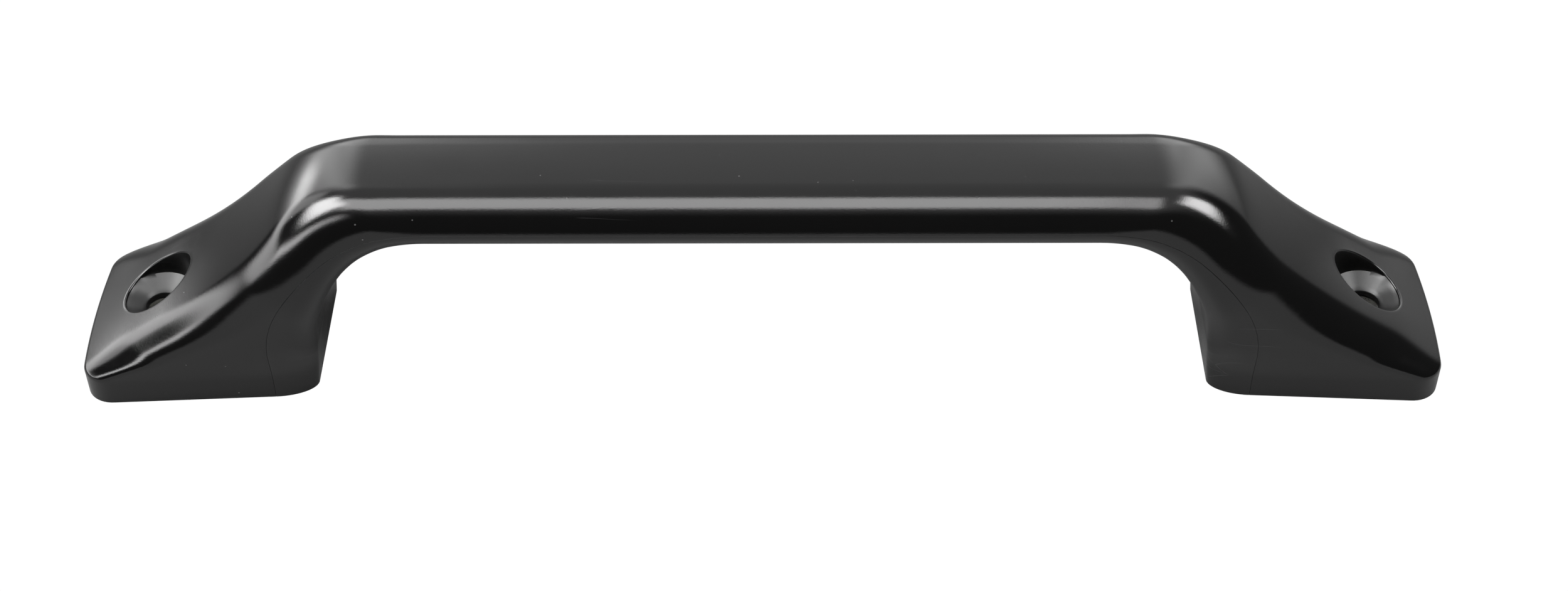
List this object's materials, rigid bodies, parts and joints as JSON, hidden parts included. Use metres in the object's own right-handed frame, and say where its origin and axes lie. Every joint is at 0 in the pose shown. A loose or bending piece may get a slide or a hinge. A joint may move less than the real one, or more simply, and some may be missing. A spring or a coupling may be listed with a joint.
{
  "type": "fixed pull handle",
  "caption": "Rigid two-shell pull handle for a vehicle door: a flat bar on sloping feet, each with a countersunk vertical screw bore.",
  "frame": {"origin": "centre of the mounting face that both feet share", "axes": "+Z away from the mounting face, +X along the bar, +Y across it"},
  "size_m": [0.2238, 0.0314, 0.0381],
  "materials": {
    "front_plastic": "gloss black injection moulding with faint flow marks",
    "back_plastic": "black injection moulding, a little less glossy",
    "strap_steel": "zinc-plated pressed strip",
    "sleeve_steel": "zinc-plated turned tube",
    "screw_steel": "black zinc",
    "pad_rubber": "dense matte rubber"
  },
  "bodies": {
    "root": {"front_shell": "front_plastic", "back_shell": "back_plastic", "core_strap": "strap_steel", "left_spacer_sleeve": "sleeve_steel", "right_spacer_sleeve": "sleeve_steel", "left_shell_screw": "screw_steel", "right_shell_screw": "screw_steel", "left_foot_pad": "pad_rubber", "right_foot_pad": "pad_rubber"}
  },
  "joints": []
}
